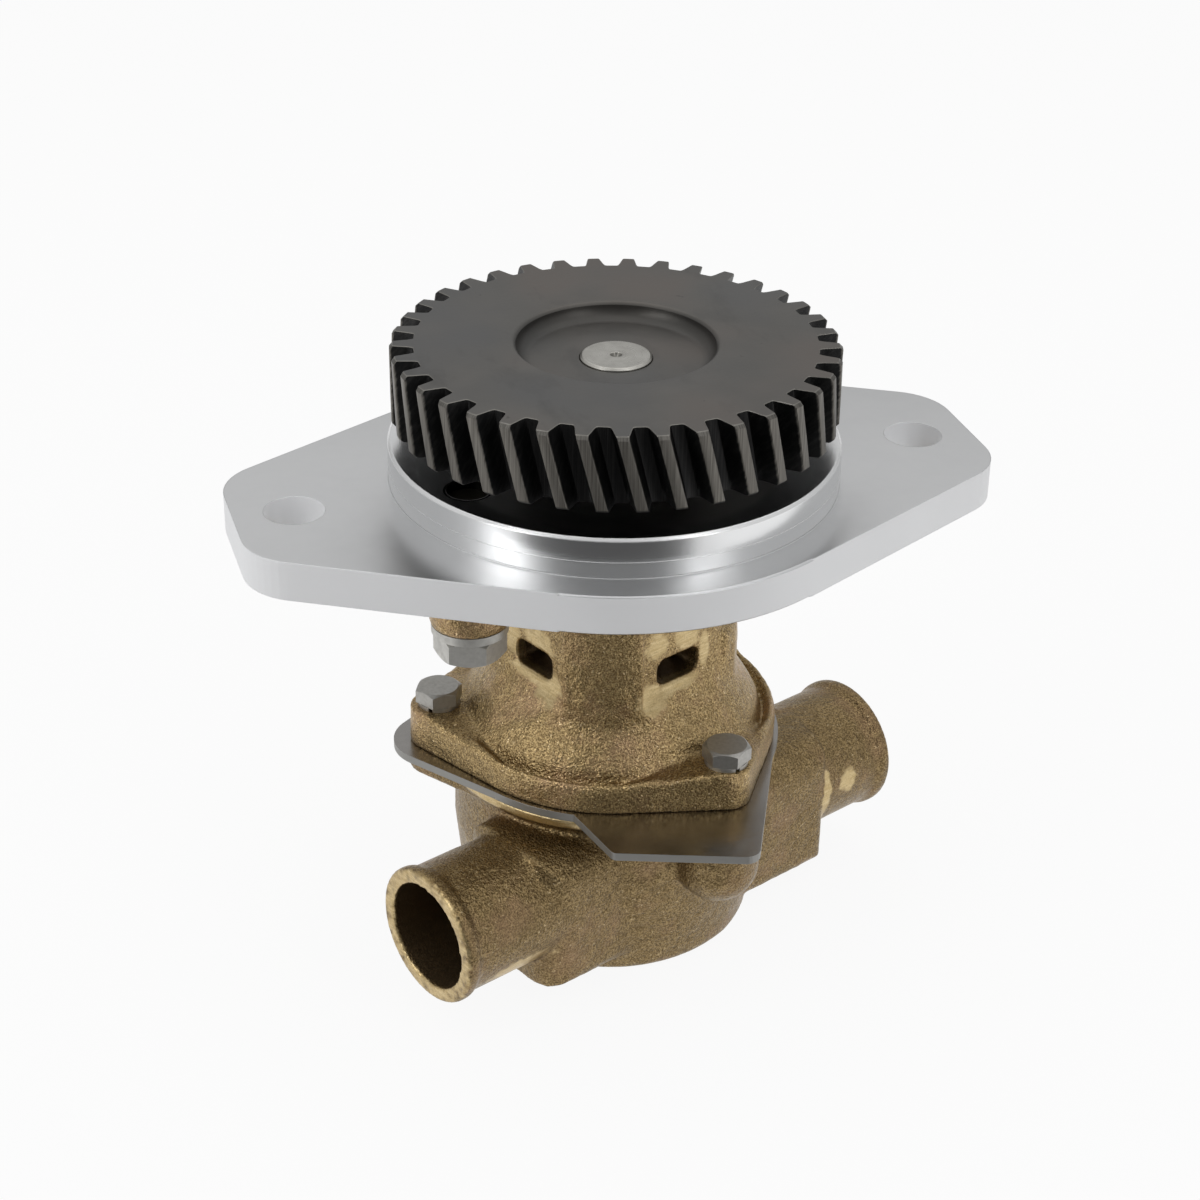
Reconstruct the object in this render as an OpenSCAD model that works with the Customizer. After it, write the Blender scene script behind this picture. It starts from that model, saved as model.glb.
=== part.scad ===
// Gear-driven raw water pump: drive gear, adapter plate, bearing housing, cover plate and pump body.
// Millimetres. Origin at the pilot's centre on the engine-side face of the adapter plate.
// Z runs up the shaft to the drive gear, X runs through the two flange bolt holes.

/* [Drive gear] */
// Number of teeth
gear_teeth = 37; // [34:1:40]
// Radius over the tooth tips
gear_tip_r = 49.8; // [47:0.1:50.4]
// Height of a tooth
tooth_h = 5.2; // [4.2:0.1:5.8]
// Width of the gear along the shaft
gear_w = 17.4; // [14.4:0.2:21.4]
// Turn of a tooth from the bottom face to the top face, degrees
gear_turn = 5.3; // [0:0.1:8]
// Radius of the round recess in the top face
recess_r = 22.2; // [18:0.2:28]

/* [Adapter plate] */
// Radius of the pilot that enters the engine's bore
pilot_r = 50.8; // [50.6:0.1:53]
// Height of the pilot above the mounting face
pilot_h = 9.2; // [9:0.1:12]
// Thickness of the plate
plate_t = 9.1; // [7.1:0.5:12.1]
// Distance between the two flange bolt holes
bolt_span = 146.05; // [140:0.05:150]
// Radius of the flange bolt holes
bolt_hole_r = 6.75; // [5.5:0.05:7.5]
// Distance from the centre of a flange hole to the plate's end
plate_end = 13.6; // [11.6:0.1:20]
// Radius of the round middle of the plate
plate_r = 58.7; // [57.9:0.1:62]

/* [Bearing housing] */
// Length from the adapter plate down to the cover plate
housing_h = 57.7; // [55.7:0.1:64.7]
// Radius of the neck
neck_r = 25.8; // [25.5:0.1:27.5]
// Width of a drain window
window_w = 12.4; // [8:0.2:14]
// Height of a drain window
window_h = 6.3; // [4:0.1:6.8]
// Radius of the lower flange
flange_r = 39.2; // [38.7:0.1:41]
// Height of the three ears for the body bolts
ear_h = 9.5; // [8:0.1:10.5]

/* [Cover plate] */
// Thickness of the cover plate
cover_t = 1.9; // [1.2:0.1:3]
// Reach of the flat tab from the shaft's axis
tab_reach = 54.2; // [48:0.1:62]

/* [Pump body] */
// Height of the body
body_h = 45.7; // [45.2:0.1:54.7]
// Radius of the body under its machined rim
body_r = 37; // [36.8:0.1:39]
// Radius of the body at its base
base_r = 34.1; // [33:0.1:35.8]
// Direction of the hose ports, degrees from X
port_a = 23; // [0:0.5:26]
// Distance from the shaft's axis out to each hose end
port_len = 66; // [62:0.1:80]
// Outside radius of a hose pipe
pipe_r = 15.4; // [15:0.1:15.8]
// Radius of a port's bore
port_r = 12.7; // [12:0.1:13.2]
// Height of the bead at a hose end
bead_h = 0.9; // [0.5:0.05:1.6]

/* [Hidden] */
$fn = 96;
eps = 0.02;
// Gap between pieces that are pushed together and never turn
seat = 0.015;
// Depth at which straight sides sink into the rounds they run into
sink = 0.03;
// Radial gap of pieces that turn
run = 0.04;

// Levels along the shaft
gear_z0 = 14.5;
gear_z1 = gear_z0 + gear_w;
shaft_z1 = gear_z1 - 3.3;
plate_z0 = -plate_t;
plate_half = bolt_span / 2 + plate_end;
lug_h = 13.7;
lug_z = plate_z0 - lug_h;
house_z0 = plate_z0 - housing_h;
ear_z1 = house_z0 + ear_h;
cover_z0 = house_z0 - cover_t;
base_z = cover_z0 - body_h;
// Direction of the normals of the plate's straight sides, from X
side_a = 61.1;

// Drive gear
gear_root_r = gear_tip_r - tooth_h;
gear_pitch = 360 / gear_teeth;
gear_phase = 1.18 + gear_turn;
recess_d = 3.9;

// Shaft and bearings (17 x 40 x 12)
shaft_r = 8;
journal_r = 8.5;
collar_r = 10.2;
brg_w = 12;
brg_ro = 20;
brg_pitch = 14.25;
ball_r = 3.3;
ball_n = 8;
race_gap = 0.05;
lo_z0 = plate_z0 - 19.9;
up_z0 = lo_z0 + 24;
clip_t = 1.1;
spigot_z1 = up_z0 + brg_w + 1.6;

// Windows, flats and seals in the neck
flat_a = 24;
flat_d = 24.4;
// All levels from the lower bearing down to the cover plate keep their share of this height
low_k = (lo_z0 - house_z0) / 37.8;
win_z1 = lv(30.4);
win_shift = 1.2;
win_z0 = win_z1 - window_h;
weep_z1 = lv(30.4);
weep_r = 17;
lip_z0 = lv(31.8);
seat_z0 = lv(17);
seat_z1 = lv(21.5);

// Lugs and bolts under the adapter plate
lug_p = [-38.5, -18.3];
lug_r = 9;
ad_shank_r = 4.75;
ad_af = 14.2;
ad_head_h = 6.2;
ad_wash_t = 2;
ad_wash_r = 8.6;
ad_len = 32;

// Body bolts
ear_n = 3;
ear_a = 173;
ear_d = 40.7;
ear_r = [6.8, 5.9, 6.8];
m6_r = 3;
m6_af = 9.7;
m6_head_h = 3.6;
lock_t = 1.1;
m6_len = 18;

// Pump chamber
cham_r = 29;
groove_r = cham_r + 2.2;
cham_z0 = base_z + 12.7;
port_z = base_z + 24.2;
port_y = -15;
bore_len = 36;
imp_z0 = cham_z0 + 0.3;
imp_z1 = cover_z0 - 0.3;
vane_n = 8;
cam_big_r = 60;
cam_back = cam_big_r - 24;
cam_half = 15.5;
cam_bolt_y = -26.2;

bronze = [0.52, 0.42, 0.26];
alloy = [0.82, 0.83, 0.84];
dark_steel = [0.22, 0.22, 0.21];
steel = [0.68, 0.68, 0.67];
rubber = [0.06, 0.06, 0.06];

// Helpers
function lv(c) = house_z0 + c * low_k;
function bell_r(k) = neck_r + k * (flange_r - neck_r);
function unit(v) = v / norm(v);
function turn180(d) = d > 180 ? d - 360 : (d < -180 ? d + 360 : d);
function corner(a, b, c, r, n) =
    let (u = unit(a - b), v = unit(c - b), h = acos(u * v) / 2)
    let (m = b + unit(u + v) * r / sin(h), t0 = b + u * r / tan(h), t1 = b + v * r / tan(h))
    let (a0 = atan2(t0[1] - m[1], t0[0] - m[0]), d = turn180(atan2(t1[1] - m[1], t1[0] - m[0]) - a0))
    [for (i = [0 : n]) m + r * [cos(a0 + d * i / n), sin(a0 + d * i / n)]];
function rounded(p, r, n = 6) =
    let (k = len(p))
    [for (i = [0 : k - 1]) each (r[i] > 0 ? corner(p[(i + k - 1) % k], p[i], p[(i + 1) % k], r[i], n) : [p[i]])];

module post(r, z0, z1) {
    translate([0, 0, z0])
        cylinder(r = r, h = z1 - z0);
}

module tube(ro, ri, z0, z1) {
    difference() {
        post(ro, z0, z1);
        post(ri, z0 - 1, z1 + 1);
    }
}

module slab(pts, z0, z1) {
    translate([0, 0, z0])
        linear_extrude(height = z1 - z0)
            polygon(pts);
}

// A round ear joined to a disc by straight tangent sides
module ear(disc_r, r, d, z0, z1) {
    c = (disc_r - r) / d;
    s = sqrt(1 - c * c);
    p = (disc_r - sink) * [c, s];
    q = [d, 0] + (r - sink) * [c, s];
    slab([[0, 0], p, q, [q[0], -q[1]], [p[0], -p[1]]], z0, z1);
    translate([d, 0, 0])
        post(r, z0, z1);
}

module hex_head(af, h, top) {
    chamfer = 0.09 * af;
    a = top ? h : 0;
    intersection() {
        cylinder(r = af / sqrt(3), h = h, $fn = 6);
        rotate_extrude()
            polygon(top
                ? [[0, 0], [af * 0.6, 0], [af * 0.6, h - chamfer], [af * 0.47, h], [0, h]]
                : [[0, 0], [af * 0.47, 0], [af * 0.6, chamfer], [af * 0.6, h], [0, h]]);
    }
}

module at_ears() {
    for (i = [0 : ear_n - 1])
        rotate(ear_a + 360 / ear_n * i)
            translate([ear_d, 0, 0])
                children();
}

module at_lugs() {
    for (a = [0, 180])
        rotate(a)
            translate([lug_p[0], lug_p[1], 0])
                children();
}

module ring_torus(r, w, z) {
    translate([0, 0, z])
        rotate_extrude()
            translate([r, 0])
                circle(r = w);
}

// Drive gear with slanted teeth, pressed on the shaft
module drive_gear() {
    half = [1.5, 2.3, 2.85];
    rr = [gear_tip_r, gear_tip_r - tooth_h * 0.5, gear_root_r];
    color(dark_steel)
        difference() {
            intersection() {
                translate([0, 0, gear_z0])
                    rotate(gear_phase)
                        linear_extrude(height = gear_w, twist = gear_turn, slices = 4)
                            polygon([for (i = [0 : gear_teeth - 1])
                                for (k = [2, 1, 0, 3, 4, 5])
                                    let (j = k < 3 ? k : k - 3, s = k < 3 ? -1 : 1)
                                    let (h = half[j] * 38 / gear_teeth / rr[j] * 180 / PI)
                                    rr[j] * [cos(i * gear_pitch + s * h), sin(i * gear_pitch + s * h)]]);
                rotate_extrude()
                    polygon([[0, gear_z0 - 1], [gear_tip_r - 1.8, gear_z0 - 1], [gear_tip_r + 0.9, gear_z0 + 1.7],
                             [gear_tip_r + 0.9, gear_z1 - 1.7], [gear_tip_r - 1.8, gear_z1 + 1], [0, gear_z1 + 1]]);
            }
            rotate_extrude()
                polygon(concat([[0, gear_z1 + 1], [0, gear_z1 - recess_d]],
                               [for (i = [0 : 6]) [recess_r - 3.2 + 3.2 * sin(i * 15), gear_z1 - recess_d + 3.2 - 3.2 * cos(i * 15)]],
                               [[recess_r + 0.5, gear_z1], [recess_r + 1.5, gear_z1 + 1]]));
            rotate_extrude()
                polygon([[21, gear_z0 - 1], [38, gear_z0 - 1], [38, gear_z0 + 3], [37, gear_z0 + 4],
                         [22, gear_z0 + 4], [21, gear_z0 + 3]]);
            post(shaft_r + seat, gear_z0 - 1, gear_z1 + 1);
        }
}

// Stepped shaft with a centre dimple in its top end and a key slot at the impeller
module pump_shaft() {
    color(steel)
        difference() {
            rotate_extrude()
                polygon([[0, imp_z0 + 0.5], [shaft_r - 0.8, imp_z0 + 0.5], [shaft_r, imp_z0 + 1.3],
                         [shaft_r, lo_z0 - 1.6], [collar_r, lo_z0 - 1.6], [collar_r, lo_z0 - eps],
                         [journal_r, lo_z0 - eps], [journal_r, gear_z0 - 1], [shaft_r, gear_z0 - 0.6],
                         [shaft_r, shaft_z1 - 0.5], [shaft_r - 0.5, shaft_z1], [0, shaft_z1]]);
            translate([0, 0, shaft_z1 - 1.2])
                cylinder(r1 = 0.4, r2 = 1.4, h = 1.2 + eps);
            translate([shaft_r - 2, -1.6, imp_z0 + 8])
                cube([4, 3.2, 16]);
        }
}

// Spacer sleeve between the gear and the upper bearing
module gear_sleeve() {
    color(steel)
        tube(12.2, journal_r + seat, up_z0 + brg_w + eps, gear_z0 - eps);
}

// Retaining ring in a groove above the upper bearing
module bearing_clip() {
    color(dark_steel)
        difference() {
            tube(brg_ro + 0.9, 17.6, up_z0 + brg_w + eps, up_z0 + brg_w + clip_t);
            translate([0, -4, up_z0 + brg_w - 1])
                cube([brg_ro + 3, 8, clip_t + 3]);
        }
    color(dark_steel)
        for (s = [-1, 1])
            difference() {
                rotate(s * 15)
                    translate([17.9, 0, up_z0 + brg_w + 0.1])
                        cylinder(r = 1.9, h = clip_t - 0.2);
                rotate(s * 15)
                    translate([17.9, 0, up_z0 + brg_w - 1])
                        cylinder(r = 0.9, h = 4);
                tube(brg_ro + 3, 17.6 + 0.4, up_z0 + brg_w - 1, up_z0 + brg_w + 3);
            }
}

module race_outer(z0) {
    color(steel)
        difference() {
            tube(brg_ro - seat, 17, z0 + eps, z0 + brg_w - eps);
            ring_torus(brg_pitch, ball_r + race_gap, z0 + brg_w / 2);
        }
}

module race_inner(z0) {
    color(steel)
        difference() {
            tube(11.5, journal_r + seat, z0 + eps, z0 + brg_w - eps);
            ring_torus(brg_pitch, ball_r + race_gap, z0 + brg_w / 2);
        }
}

// Balls held by a cage ring
module balls(z0) {
    color(steel)
        difference() {
            union() {
                tube(15.6, 12.9, z0 + brg_w / 2 - 1.5, z0 + brg_w / 2 + 1.5);
                for (i = [0 : ball_n - 1])
                    rotate(i * 360 / ball_n)
                        translate([brg_pitch, 0, z0 + brg_w / 2])
                            sphere(r = ball_r);
            }
        }
}

module upper_race_outer() {
    race_outer(up_z0);
}

module upper_race_inner() {
    race_inner(up_z0);
}

module upper_balls() {
    balls(up_z0);
}

module lower_race_outer() {
    race_outer(lo_z0);
}

module lower_race_inner() {
    race_inner(lo_z0);
}

module lower_balls() {
    balls(lo_z0);
}

// Spacers that hold the two bearings apart
module race_spacer_outer() {
    color(steel)
        tube(brg_ro - seat, 17.4, lo_z0 + brg_w, up_z0);
}

module race_spacer_inner() {
    color(steel)
        tube(11.3, journal_r + seat, lo_z0 + brg_w, up_z0);
}

// Adapter plate with its pilot, two flange holes and two tapped holes
module adapter_plate() {
    r = plate_r - sink;
    vy = (r - plate_half * cos(side_a)) / sin(side_a);
    tx = r * cos(side_a);
    ty = r * sin(side_a);
    pts = [[tx, ty], [-tx, ty], [-plate_half, vy], [-plate_half, -vy], [-tx, -ty], [tx, -ty],
           [plate_half, -vy], [plate_half, vy]];
    color(alloy)
        difference() {
            union() {
                slab(rounded(pts, [0, 0, 14.5, 14.5, 0, 0, 14.5, 14.5], 8), plate_z0, 0);
                rotate_extrude()
                    polygon([[neck_r + 1, plate_z0], [plate_r - 0.4, plate_z0], [plate_r, plate_z0 + 0.4], [plate_r, -0.4],
                             [plate_r - 0.4, 0], [pilot_r, 0], [pilot_r, pilot_h - 0.6], [pilot_r - 0.6, pilot_h],
                             [neck_r + 1, pilot_h]]);
            }
            post(neck_r, plate_z0 - 1, pilot_h + 1);
            for (s = [-1, 1])
                translate([s * bolt_span / 2, 0, 0])
                    post(bolt_hole_r, plate_z0 - 1, 1);
            at_lugs()
                post(ad_shank_r + seat, plate_z0 - 1, pilot_h + 1);
        }
}

// Outer shape of the bearing housing above its flange
module housing_bell() {
    z = house_z0;
    rotate_extrude()
        polygon([[0, plate_z0 + 2], [neck_r + 2.8, plate_z0 + 2], [neck_r + 2.8, plate_z0 - 3],
                 [neck_r + 1.6, plate_z0 - 5], [neck_r, plate_z0 - 8], [neck_r, lv(26.2)], [bell_r(0.04), lv(23.6)], [bell_r(0.12), lv(20.6)], [bell_r(0.25), lv(17.4)],
                 [bell_r(0.4), lv(14.2)], [bell_r(0.55), lv(11.4)], [bell_r(0.66), lv(8.9)],
                 [bell_r(0.71), lv(7.2)], [bell_r(0.735), lv(6.2)], [bell_r(0.77), lv(5.7)], [bell_r(0.81), lv(5.8)],
                 [bell_r(0.85), lv(6.4)], [bell_r(0.89), lv(6.7)], [flange_r - 1.2, lv(6.6)],
                 [flange_r - 0.5, lv(6.1)], [flange_r - 0.1, lv(5.4)], [flange_r, lv(4.6)], [flange_r, z - 2],
                 [0, z - 2]]);
}

// Thicker corners between the flats, and the neck's fuller front
module neck_corners() {
    h = flat_d + 0.8;
    r = neck_r + 3.7;
    intersection() {
        rotate(flat_a)
            slab(rounded([[h, h], [-h, h], [-h, -h], [h, -h]], [13.5, 13.5, 13.5, 13.5], 8), lv(10), lv(33));
        rotate_extrude()
            polygon([[0, lv(10)], [r, lv(10)], [r, lv(27.5)], [r - 0.2, lv(28.8)], [r - 1, lv(30.2)],
                     [r - 2.4, lv(31.4)], [r - 3.6, lv(32)], [0, lv(32)]]);
    }
    rotate(flat_a + 225)
        translate([4, 0, 0])
            post(neck_r - 0.4, lv(10), plate_z0 + 2);
}

module housing_ears() {
    for (i = [0 : ear_n - 1])
        rotate(ear_a + 360 / ear_n * i)
            difference() {
                ear(flange_r, ear_r[i], ear_d, house_z0 - 2, ear_z1);
                for (m = [-1, 1])
                    translate([-10, m * 6, ear_z1])
                        rotate([-m * 9.5, 0, 0])
                            translate([0, m > 0 ? -eps : -60, 0])
                                cube([70, 60 + eps, 12]);
            }
}

module housing_lugs() {
    at_lugs()
        post(lug_r, lug_z, plate_z0 + 2);
    a = atan2(lug_p[1], lug_p[0]);
    d = norm(lug_p);
    for (k = [0, 180])
        rotate(a + k)
            translate([0, -6, lug_z + 3])
                cube([d, 12, lug_h]);
}

// Bronze bearing housing with four drain windows
module bearing_housing() {
    z = house_z0;
    color(bronze)
        difference() {
            union() {
                difference() {
                    union() {
                        housing_bell();
                        neck_corners();
                        housing_ears();
                        housing_lugs();
                    }
                    post(80, plate_z0 - eps, plate_z0 + 9);
                    post(80, z - 9, z);
                }
                rotate_extrude()
                    polygon([[0, plate_z0 - 4], [neck_r - seat, plate_z0 - 4], [neck_r - seat, spigot_z1 - 0.6],
                             [neck_r - seat - 0.6, spigot_z1], [0, spigot_z1]]);
            }
            // flats around the windows, which run out into the bell below
            for (k = [0 : 3])
                rotate(flat_a + 90 * k)
                    translate([flat_d, 13, 0])
                        rotate([90, 0, 0])
                            linear_extrude(height = 26)
                                polygon([[0, lv(41)], [0, lv(24.6)], [0.9, lv(21.4)], [3.1, lv(17.6)],
                                         [6, lv(14.4)], [9.4, lv(11.2)], [14, lv(11.2)], [14, lv(41)]]);
            // drain windows with rounded ends
            for (k = [0 : 3])
                rotate(flat_a + 90 * k)
                    translate([weep_r - 3, (k % 2 == 0 ? 1 : -1) * win_shift, (win_z0 + win_z1) / 2])
                        rotate([90, 0, 90])
                            linear_extrude(height = 20)
                                polygon(rounded([[window_w, window_h] / 2, [-window_w, window_h] / 2,
                                                 [-window_w, -window_h] / 2, [window_w, -window_h] / 2],
                                                [2, 2, 2, 2], 4));
            // bores for the bearings, the seals and the shaft
            rotate_extrude()
                polygon([[0, spigot_z1 + 1], [brg_ro + 0.6, spigot_z1 + 1], [brg_ro, spigot_z1 - 0.4],
                         [brg_ro, up_z0 + brg_w + clip_t + eps], [brg_ro + 1, up_z0 + brg_w + clip_t + eps],
                         [brg_ro + 1, up_z0 + brg_w], [brg_ro, up_z0 + brg_w], [brg_ro, lo_z0], [17.2, lo_z0],
                         [17.2, lv(36.8)], [16, lv(36.8)], [16, lip_z0 - eps], [13, lip_z0 - eps],
                         [13, weep_z1], [weep_r, lv(29.4)], [weep_r, lv(24.2)], [15.4, lv(23.1)],
                         [11.2, lv(23.1)], [11.2, lv(22.3)], [13.8, lv(22.3)], [13.8, lv(17.5)],
                         [18, lv(16.4)], [22.5, lv(10)], [22.5, z - 1], [0, z - 1]]);
            // holes and spot faces for the body bolts
            at_ears() {
                post(m6_r + 0.3, z - 1, ear_z1 + 1);
                post(6.3, ear_z1, ear_z1 + 14);
            }
            // holes for the adapter bolts
            at_lugs() {
                post(ad_shank_r + 0.4, lug_z - 1, plate_z0 + 1);
                post(lug_r + 1.2, lug_z - 8, lug_z);
            }
            // groove for the sealing ring
            tube(groove_r + 1.8, groove_r - 1.8, z - 1, z + 1.5);
        }
}

module adapter_bolts() {
    color(steel)
        at_lugs() {
            post(ad_shank_r, lug_z - ad_wash_t - eps, lug_z - ad_wash_t + ad_len);
            post(ad_af * 0.46, lug_z - ad_wash_t - 0.7, lug_z - ad_wash_t - eps);
            translate([0, 0, lug_z - ad_wash_t - 0.6 - (ad_head_h - 0.6)])
                rotate(41)
                    intersection() {
                        cylinder(r = ad_af / sqrt(3), h = ad_head_h - 0.6, $fn = 6);
                        rotate_extrude()
                            polygon([[0, 0], [ad_af * 0.47, 0], [ad_af * 0.6, 1.1], [ad_af * 0.6, ad_head_h - 1.4],
                                     [ad_af * 0.52, ad_head_h - 0.6], [0, ad_head_h - 0.6]]);
                    }
        }
}

module adapter_washers() {
    color(steel)
        at_lugs()
            tube(ad_wash_r, ad_shank_r + 0.3, lug_z - ad_wash_t, lug_z - eps);
}

// Rubber lip seal over the shaft below the bearings
module oil_seal() {
    z = lip_z0;
    k = low_k;
    color(rubber)
        rotate_extrude()
            polygon([[16 - seat, z], [16 - seat, z + 4.9 * k], [12.4, z + 4.9 * k], [12.4, z + 1.2 * k],
                     [10.6, z + 1.2 * k], [10.2, z + 2.4 * k], [9.9, z + 4 * k], [9.0, z + 4 * k],
                     [shaft_r + run, z + 2.9 * k], [9.2, z + 1 * k], [10.2, z]]);
}

module oil_seal_spring() {
    color(steel)
        ring_torus(10.95, 0.55, lip_z0 + 3.2 * low_k);
}

// Rubber ring that throws leaked water out through the windows
module slinger_ring() {
    z = lv(27.2);
    h = 2 * low_k;
    color(rubber)
        rotate_extrude()
            polygon([[shaft_r + seat, z - h], [9.4, z - h], [12.4, z - 0.35 * h], [12.4, z + 0.35 * h], [9.4, z + h],
                     [shaft_r + seat, z + h]]);
}

// Stationary half of the water seal
module seal_cup() {
    color(rubber)
        rotate_extrude()
            polygon([[10.4, lv(22.25)], [13.8 - seat, lv(22.25)], [13.8 - seat, lv(17.8)],
                     [12.6, lv(17.8)], [12.6, seat_z1], [10.4, seat_z1]]);
}

module seal_seat() {
    color([0.9, 0.88, 0.82])
        tube(12.6 - seat, 9.2, seat_z0, seat_z1 - eps);
}

// Turning half of the water seal
module seal_face() {
    color(dark_steel)
        tube(11.8, shaft_r + 0.3, lv(13.6), seat_z0 - run);
}

module seal_boot() {
    z = lv(13.6) - eps;
    color(rubber)
        rotate_extrude()
            polygon([[shaft_r + seat, z], [11.2, z], [11.2, lv(12.7)], [9.4, lv(11.9)], [9.4, lv(7)],
                     [10.2, lv(6.2)], [10.2, lv(4.6)], [shaft_r + seat, lv(4.6)]]);
}

// Round wire wound between the face and the collar
module seal_spring() {
    z = lv(11.9);
    turns = 3;
    steps = 20;
    sides = 8;
    wire = 0.6;
    coil_r = 11.1;
    rise = 6.2 * low_k;
    n = turns * steps;
    pts = [for (i = [0 : n])
              let (a = i * 360 / steps)
              for (j = [0 : sides - 1])
                  let (b = j * 360 / sides)
                  [(coil_r + wire * cos(b)) * cos(a), (coil_r + wire * cos(b)) * sin(a), z - rise * i / n + wire * sin(b)]];
    sides_f = [for (i = [0 : n - 1])
              for (j = [0 : sides - 1])
                  let (k = (j + 1) % sides)
                  [i * sides + j, i * sides + k, (i + 1) * sides + k, (i + 1) * sides + j]];
    cap0 = [[for (j = [0 : sides - 1]) sides - 1 - j]];
    cap1 = [[for (j = [0 : sides - 1]) n * sides + j]];
    color(steel)
        polyhedron(points = pts, faces = concat(sides_f, cap0, cap1));
}

module seal_collar() {
    color(steel)
        tube(13.4, shaft_r + seat, lv(2.55), lv(4.55));
}

module housing_o_ring() {
    color(rubber)
        tube(groove_r + 1.4, groove_r - 1.4, house_z0 + eps, house_z0 + 1.45);
}

module body_o_ring() {
    color(rubber)
        tube(groove_r + 1.4, groove_r - 1.4, cover_z0 - 1.45, cover_z0 - eps);
}

// Thin stainless cover plate with three ears and a flat tab
module cover_plate() {
    tab_a = -108.7;
    side = -24.3;
    n1 = [cos(tab_a), sin(tab_a)];
    n2 = [cos(side), sin(side)];
    r = flange_r + 1;
    side_r = r - 0.6;
    det = n1[0] * n2[1] - n1[1] * n2[0];
    p = (r - 0.4) * [cos(-119.2), sin(-119.2)];
    q = tab_reach * n1 + 2.2 * [-n1[1], n1[0]];
    c = [(tab_reach * n2[1] - n1[1] * side_r) / det, (n1[0] * side_r - tab_reach * n2[0]) / det];
    color(steel)
        difference() {
            union() {
                post(r, cover_z0, house_z0 - eps);
                for (i = [0 : ear_n - 1])
                    rotate(ear_a + 360 / ear_n * i)
                        ear(i == 1 ? side_r : r - 0.12, i == 1 ? 9.3 : 10.8, ear_d, cover_z0, house_z0 - eps);
                slab(rounded([p, q, c, (side_r - sink) * n2, [0, 0]], [0, 1.8, 3.4, 0, 0]), cover_z0, house_z0 - eps);
            }
            post(9.6, cover_z0 - 1, house_z0 + 1);
            at_ears()
                post(m6_r + 0.3, cover_z0 - 1, house_z0 + 1);
        }
}

// Shape of the water passages' outside, along the port axis
module port_block() {
    x0 = -42.4;
    x1 = 45;
    y0 = port_y - pipe_r;
    y1 = port_y + pipe_r;
    z0 = port_z - pipe_r - 3.9;
    z1 = port_z + pipe_r - 0.1;
    intersection() {
        translate([x0, 0, 0])
            rotate([90, 0, 90])
                linear_extrude(height = x1 - x0)
                    polygon(rounded([[y0, z0], [y0, z1], [y1, z1], [y1, z0]], [3, 8.5, 8.5, 3]));
        slab(rounded([[x0, y0], [x1, y0], [x1, y1], [x0, y1]], [7.5, 3, 3, 3]), z0 - 1, z1 + 1);
    }
}

module hose_pipe() {
    l = port_len;
    rotate_extrude()
        polygon([[0, 30], [pipe_r, 30], [pipe_r, l - 4.2], [pipe_r + 0.2, l - 3.5], [pipe_r + bead_h - 0.2, l - 2.9],
                 [pipe_r + bead_h, l - 2.2], [pipe_r + bead_h, l - 0.7], [pipe_r + bead_h - 0.6, l], [0, l]]);
}

// Cast bronze body: cup, port passages, hose pipes and three threaded bosses
module pump_body() {
    z1 = cover_z0 - eps;
    z0 = base_z;
    color(bronze)
        difference() {
            union() {
                rotate_extrude()
                    polygon([[0, z0], [base_r - 1.6, z0], [base_r - 0.5, z0 + 0.5], [base_r, z0 + 1.6],
                             [body_r - 0.9, z1 - 29], [body_r + 0.1, z1 - 20], [body_r, z1 - 12], [body_r - 0.2, z1 - 5],
                             [body_r + 0.6, z1 - 3.6], [flange_r - 0.2, z1 - 2.9], [flange_r + 0.9, z1 - 2.5],
                             [flange_r + 0.9, z1 + 1], [0, z1 + 1]]);
                for (i = [0 : ear_n - 1])
                    rotate(ear_a + 360 / ear_n * i) {
                        ear(body_r, 7.4, ear_d, z1 - 4.8, z1 + 1);
                        ear(body_r - 1.2, 6.2, ear_d, z1 - 6, z1 - 4);
                    }
                rotate(ear_a + 360 / ear_n) {
                    translate([ear_d - 0.9, -0.6, 0]) {
                        post(9.6, z1 - 15.8, z1 + 1);
                        translate([0, 0, z1 - 15.8])
                            intersection() {
                                sphere(9.6);
                                post(20, -20, 2);
                            }
                    }
                    translate([20, -10.1, z1 - 19.4])
                        cube([ear_d - 20, 19, 20.4]);
                }
                rotate(port_a) {
                    port_block();
                    for (s = [-1, 1])
                        translate([0, port_y, port_z])
                            rotate([0, 90 * s, 0])
                                hose_pipe();
                }
            }
            // flat top
            post(80, z1, z1 + 9);
            // impeller chamber
            post(cham_r, cham_z0, z1 + 1);
            post(9.5, cham_z0 - 2.5, cham_z0 + 1);
            // relief under the base
            rotate_extrude()
                polygon([[0, z0 - 1], [24, z0 - 1], [24, z0 + 2.6], [22, z0 + 4.5], [0, z0 + 4.5]]);
            // port bores with a narrower throat at the chamber
            rotate(port_a)
                for (s = [-1, 1])
                    translate([0, port_y, port_z])
                        rotate([0, 90 * s, 0]) {
                            post(port_r - 0.5, cam_half + 1, port_len - bore_len + 1);
                            post(port_r, port_len - bore_len, port_len + 1);
                        }
            // tapped holes
            at_ears()
                post(m6_r + seat, z1 - 6, z1 + 1);
            rotate(ear_a + 360 / ear_n)
                translate([ear_d, 0, 0])
                    post(m6_r + seat, z1 - 14, z1);
            // hole for the cam screw, from below
            rotate(port_a)
                translate([0, cam_bolt_y, 0]) {
                    post(2.5 + seat, z0 - 1, cham_z0 + 1);
                    post(5.2, z0 - 1, z0 + 4);
                }
            tube(groove_r + 1.8, groove_r - 1.8, z1 - 1.5, z1 + 1);
        }
}

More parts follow.
